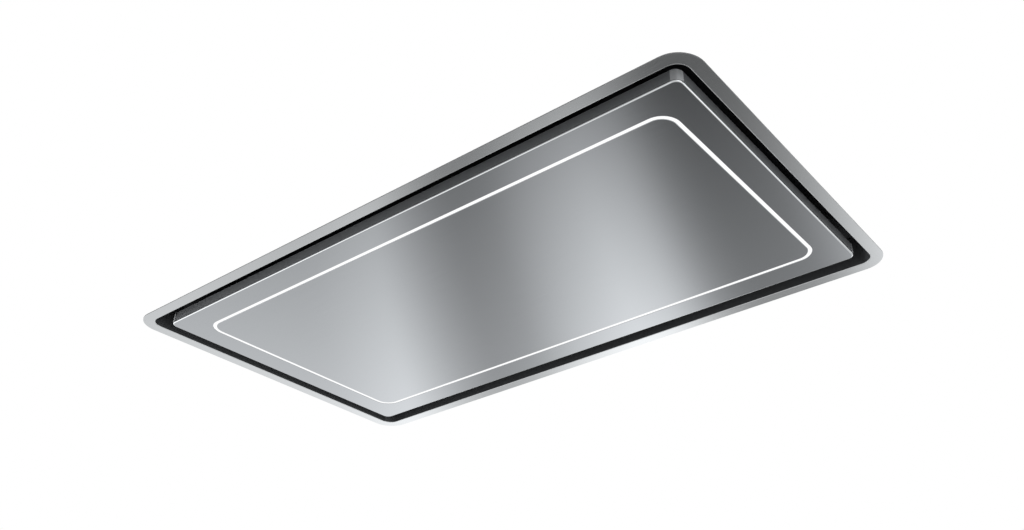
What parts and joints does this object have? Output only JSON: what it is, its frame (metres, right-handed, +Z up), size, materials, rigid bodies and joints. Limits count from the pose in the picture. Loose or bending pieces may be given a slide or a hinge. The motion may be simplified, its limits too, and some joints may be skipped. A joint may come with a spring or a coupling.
{
  "type": "ceiling range hood",
  "caption": "Ceiling hood with a flush steel flange, a hinged panel with a lit rectangle and suction slots round it, and a sheet case with filters, blower and side duct outlet.",
  "frame": {"origin": "centre of the ceiling opening, in the plane of the visible underside of the flange and the panel", "axes": "+X along the long side, towards the duct outlet; +Y along the short side, towards the panel's hinges; +Z up, into the ceiling"},
  "size_m": [0.983, 0.5, 0.247],
  "materials": {
    "brushed_stainless": "satin, brushed along the length",
    "galvanised_sheet": "zinc coated, dull spangle",
    "zinc_plated_steel": "bright zinc",
    "bright_steel": "ground",
    "black_painted_steel": "satin black powder coat",
    "filter_aluminium": "mill finish",
    "plain_aluminium": "mill finish",
    "opal_diffuser": "opal acrylic, lit",
    "light_board": "white solder mask",
    "black_plastic": "fine moulded grain",
    "grey_plastic": "moulded",
    "circuit_board": "green solder mask",
    "capacitor_can": "moulded white can",
    "ferrite": "sintered, matt",
    "laminated_iron": "stacked sheet",
    "foam_gasket": "closed-cell foam",
    "rubber": "moulded",
    "cable_sheath": "smooth flexible sheath"
  },
  "bodies": {
    "housing": {"blower_rails": "galvanised_sheet", "cable_gland": "black_plastic", "case_back": "galvanised_sheet", "case_cover": "galvanised_sheet", "case_front": "galvanised_sheet", "case_left": "galvanised_sheet", "case_right": "galvanised_sheet", "case_screws": "zinc_plated_steel", "catch_magnets": "ferrite", "ceiling_frame": "brushed_stainless", "control_board": "circuit_board", "control_box": "grey_plastic", "control_lid": "grey_plastic", "duct_adapter": "galvanised_sheet", "duct_collar": "galvanised_sheet", "filter_deck": "black_painted_steel", "filter_frame_left": "filter_aluminium", "filter_frame_right": "filter_aluminium", "filter_mesh_left": "filter_aluminium", "filter_mesh_right": "filter_aluminium", "filter_rails": "galvanised_sheet", "flange_gasket": "foam_gasket", "flap_pin": "bright_steel", "hanger_brackets": "galvanised_sheet", "hanger_screws": "zinc_plated_steel", "hinge_brackets": "zinc_plated_steel", "hinge_pins": "bright_steel", "inlet_ring": "black_plastic", "light_contact_block": "black_plastic", "light_driver": "grey_plastic", "light_lead": "cable_sheath", "magnet_catches": "black_plastic", "motor_bearings": "bright_steel", "motor_capacitor": "capacitor_can", "motor_housing": "black_painted_steel", "motor_lead": "cable_sheath", "motor_spider": "galvanised_sheet", "motor_stator": "laminated_iron", "rubber_mounts": "rubber", "scroll_lower": "black_plastic", "scroll_upper": "black_plastic"},
    "panel": {"panel_rim": "brushed_stainless", "panel_face": "brushed_stainless", "panel_backing": "plain_aluminium", "panel_stiffeners": "plain_aluminium", "panel_screws": "zinc_plated_steel", "light_diffuser": "opal_diffuser", "light_channel": "plain_aluminium", "led_strip": "light_board", "hinge_leaves": "zinc_plated_steel", "strike_plates": "zinc_plated_steel", "light_contact_plate": "black_plastic"},
    "fan": {"impeller": "grey_plastic", "motor_shaft": "bright_steel", "motor_rotor": "laminated_iron"},
    "back_flap": {"flap_back": "plain_aluminium"},
    "front_flap": {"flap_front": "plain_aluminium"},
    "left_latch": {"filter_latch_left": "black_plastic"},
    "right_latch": {"filter_latch_right": "black_plastic"}
  },
  "joints": [
    {"name": "panel_swing", "type": "hinge", "parent": "housing", "child": "panel", "pos_m": [0, 0.205, 0.025], "axis": [1, 0, 0], "range_deg": [0, 90]},
    {"name": "fan_spin", "type": "hinge", "parent": "housing", "child": "fan", "pos_m": [0.13, 0.0675, 0.114], "axis": [0, 0, 1], "continuous": true},
    {"name": "back_flap_swing", "type": "hinge", "parent": "housing", "child": "back_flap", "pos_m": [0.4615, 0, 0.124], "axis": [0, 0, -1], "range_deg": [0, 75], "stiffness_Nm_per_rad": 0.02},
    {"name": "front_flap_swing", "type": "hinge", "parent": "housing", "child": "front_flap", "pos_m": [0.4615, 0, 0.124], "axis": [0, 0, 1], "range_deg": [0, 75], "stiffness_Nm_per_rad": 0.02},
    {"name": "left_latch_slide", "type": "slide", "parent": "housing", "child": "left_latch", "axis": [0, 1, 0], "range_m": [0, 0.007], "stiffness_N_per_m": 300},
    {"name": "right_latch_slide", "type": "slide", "parent": "housing", "child": "right_latch", "axis": [0, 1, 0], "range_m": [0, 0.007], "stiffness_N_per_m": 300}
  ]
}
